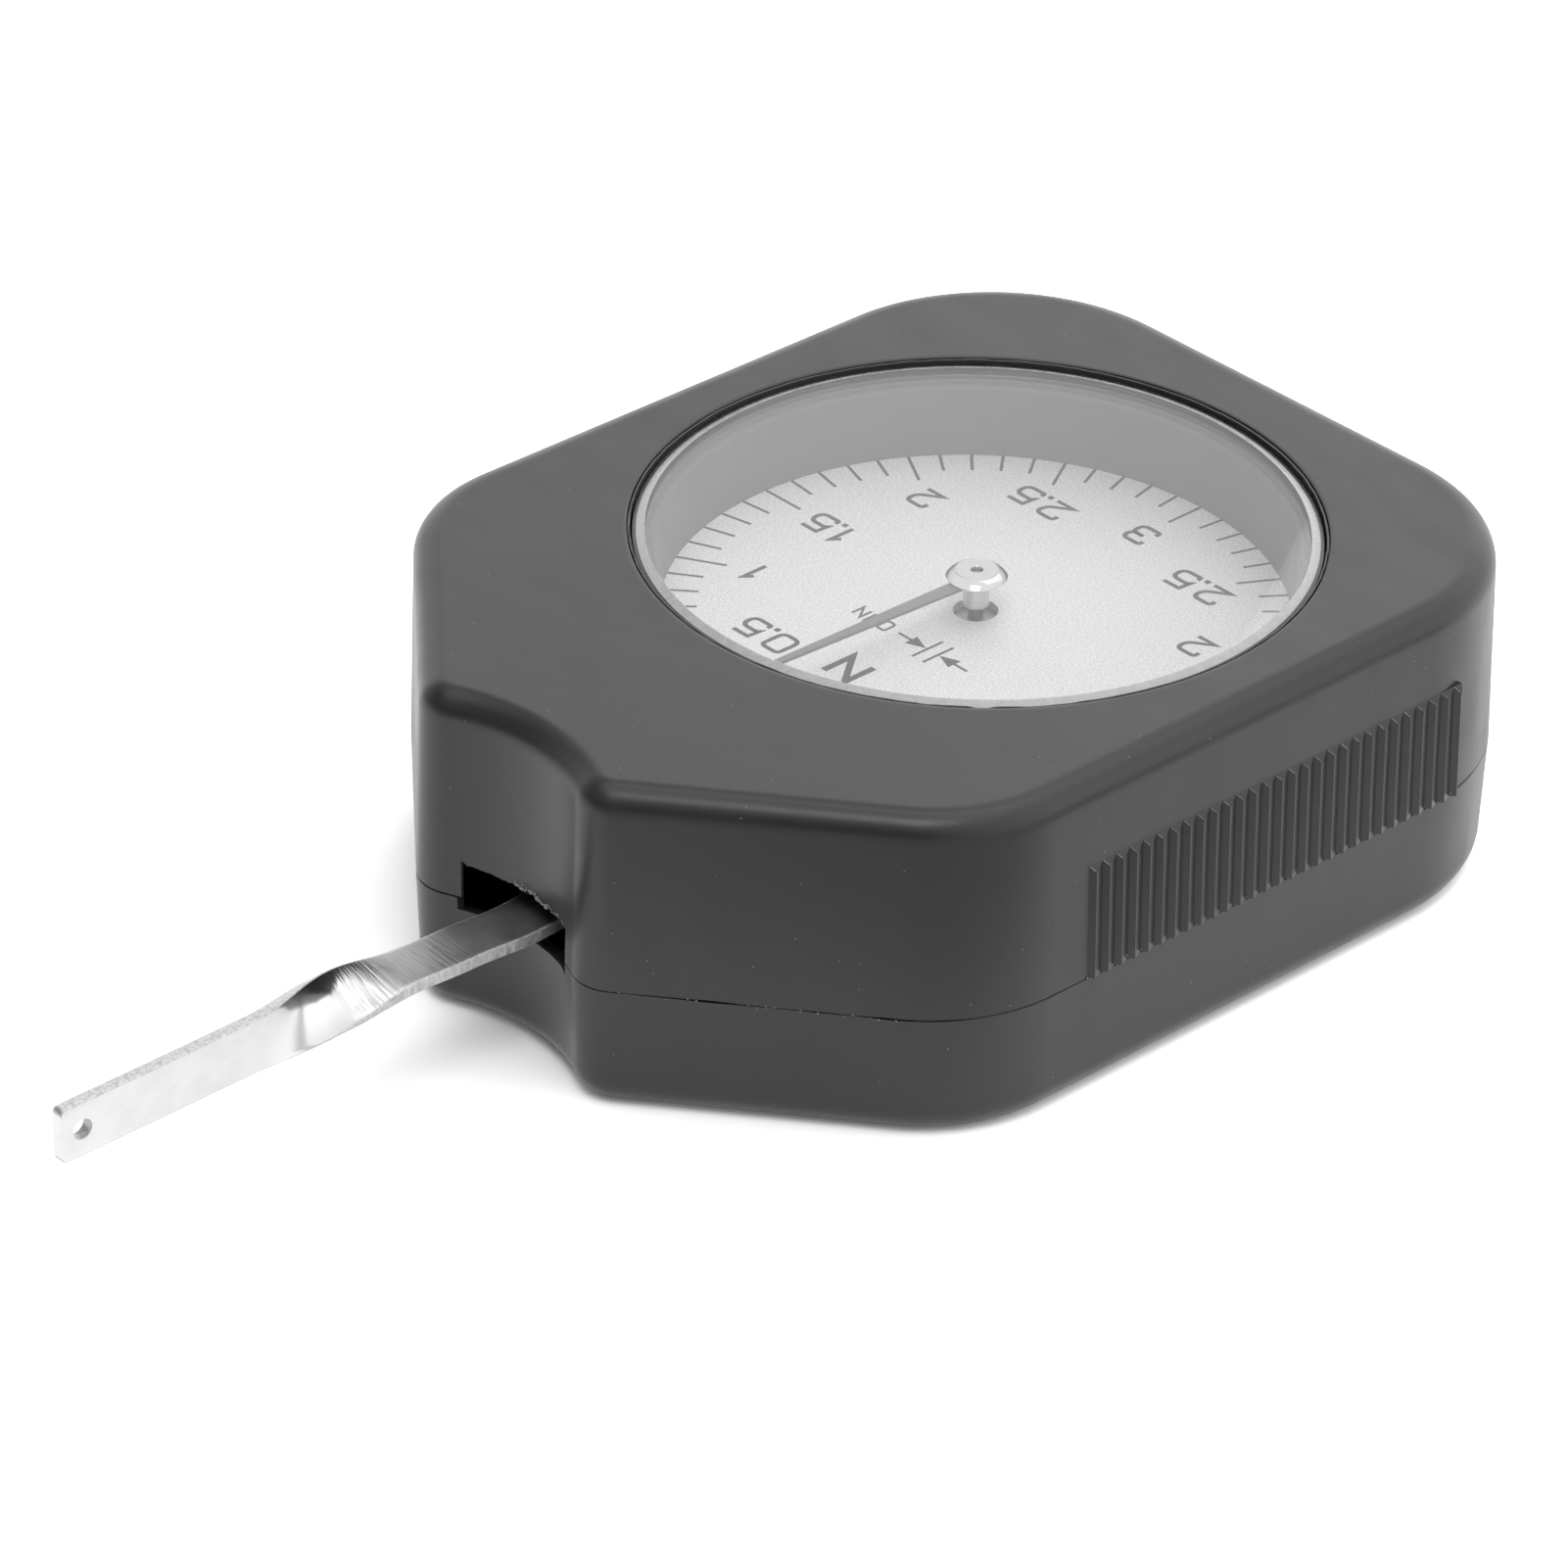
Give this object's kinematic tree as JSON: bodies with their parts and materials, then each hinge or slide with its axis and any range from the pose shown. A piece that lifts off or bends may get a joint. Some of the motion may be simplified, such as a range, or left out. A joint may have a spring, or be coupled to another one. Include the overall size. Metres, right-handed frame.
{
  "type": "dial tension gauge",
  "caption": "Palm-sized dial gauge with a round window in a two-shell case and a twisted steel feeler arm that swings against a spring and turns the pointer.",
  "frame": {"origin": "point where the pointer's axis meets the case's flat back face", "axes": "+Z out of the dial, -Y along the feeler arm at rest, +X to the right with the dial up and the arm pointing away from +Y"},
  "size_m": [0.0618, 0.1153, 0.0255],
  "materials": {
    "case_plastic": "fine moulded texture, satin",
    "clear_plastic": "clear, polished",
    "ring_plastic": "smooth, semi-gloss",
    "dial_silver": "fine-grained satin silver with printed scale",
    "arm_steel": "bright rolled and lapped strip",
    "nickel": "turned and polished",
    "needle_paint": "matt grey paint",
    "spring_steel": "tempered strip",
    "blackened_steel": "oiled black oxide",
    "plated_brass": "dull nickel plate",
    "brass": "milled and turned",
    "steel": "turned, bright"
  },
  "bodies": {
    "case": {"case_front": "case_plastic", "case_back": "case_plastic", "case_screw_1": "steel", "case_screw_2": "steel", "case_screw_3": "steel", "case_screw_4": "steel", "window_lens": "clear_plastic", "dial_ring": "ring_plastic", "dial_plate": "dial_silver", "dial_foot_1": "brass", "dial_foot_2": "brass", "front_plate": "plated_brass", "back_plate": "brass", "plate_pillar_1": "brass", "plate_pillar_2": "brass", "plate_pillar_3": "brass", "plate_pillar_4": "brass", "pillar_screw_1": "steel", "pillar_screw_2": "steel", "pillar_screw_3": "steel", "pillar_screw_4": "steel", "movement_screw_1": "steel", "movement_screw_2": "steel", "movement_screw_3": "steel", "stop_pin_1": "steel", "stop_pin_2": "steel", "arbor_bush_front": "plated_brass", "arbor_bush_back": "brass", "pivot_bush_front": "brass", "pivot_bush_back": "brass", "hairspring_stud": "steel", "spring_block": "brass", "spring_block_screw_1": "steel", "spring_block_screw_2": "steel", "measuring_spring": "spring_steel"},
    "arm": {"pivot_shaft": "steel", "arm_carrier": "blackened_steel", "arm_strip": "arm_steel", "arm_clamp_plate": "blackened_steel", "arm_clamp_screw_1": "blackened_steel", "arm_clamp_screw_2": "blackened_steel", "spring_pin_1": "steel", "spring_pin_2": "steel", "sector_gear": "brass"},
    "pointer": {"pointer_arbor": "blackened_steel", "pointer_pinion": "brass", "pointer_hub": "nickel", "pointer_needle": "needle_paint", "hairspring_collet": "brass", "hairspring": "spring_steel"}
  },
  "joints": [
    {"name": "arm_swing", "type": "hinge", "parent": "case", "child": "arm", "pos_m": [0, -0.0342, 0.0104], "axis": [0, 0, 1], "range_deg": [-10, 10], "stiffness_Nm_per_rad": 0.81, "deforming": ["measuring_spring"]},
    {"name": "pointer_spin", "type": "hinge", "parent": "case", "child": "pointer", "pos_m": [0, 0, 0.0104], "axis": [0, 0, 1], "range_deg": [-180, 180], "deforming": ["hairspring"]}
  ],
  "couplings": [
    {"joint": "pointer_spin", "follows": "arm_swing", "ratio": -18}
  ]
}
